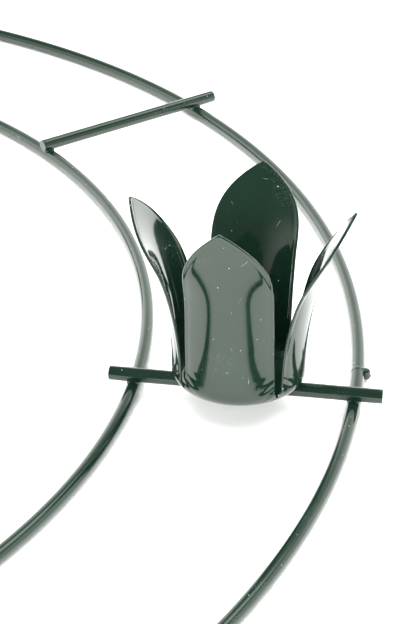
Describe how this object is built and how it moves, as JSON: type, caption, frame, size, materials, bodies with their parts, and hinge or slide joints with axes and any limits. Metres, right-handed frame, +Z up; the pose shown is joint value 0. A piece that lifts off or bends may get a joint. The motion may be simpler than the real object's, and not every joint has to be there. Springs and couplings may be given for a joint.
{
  "type": "advent wreath frame",
  "caption": "Flat wire wreath frame of two welded rings and radial cross bars, with pressed petal cups that grip taper candles.",
  "frame": {"origin": "centre of the rings, on the plane the rings lie on", "axes": "+Z up out of the candle cups; +X towards the first cup"},
  "size_m": [0.3636, 0.3636, 0.0425],
  "materials": {
    "green_enamel": "very glossy dark green stoved enamel"
  },
  "bodies": {
    "root": {"outer_ring": "green_enamel", "inner_ring": "green_enamel", "outer_ring_joint": "green_enamel", "inner_ring_joint": "green_enamel", "cup_bar_1": "green_enamel", "cup_bar_2": "green_enamel", "cup_bar_3": "green_enamel", "cup_bar_4": "green_enamel", "plain_bar_1": "green_enamel", "plain_bar_2": "green_enamel", "plain_bar_3": "green_enamel", "plain_bar_4": "green_enamel", "candle_cup_1": "green_enamel", "candle_cup_2": "green_enamel", "candle_cup_3": "green_enamel", "candle_cup_4": "green_enamel", "outer_crossing_welds": "green_enamel", "inner_crossing_welds": "green_enamel", "cup_welds": "green_enamel"}
  },
  "joints": []
}
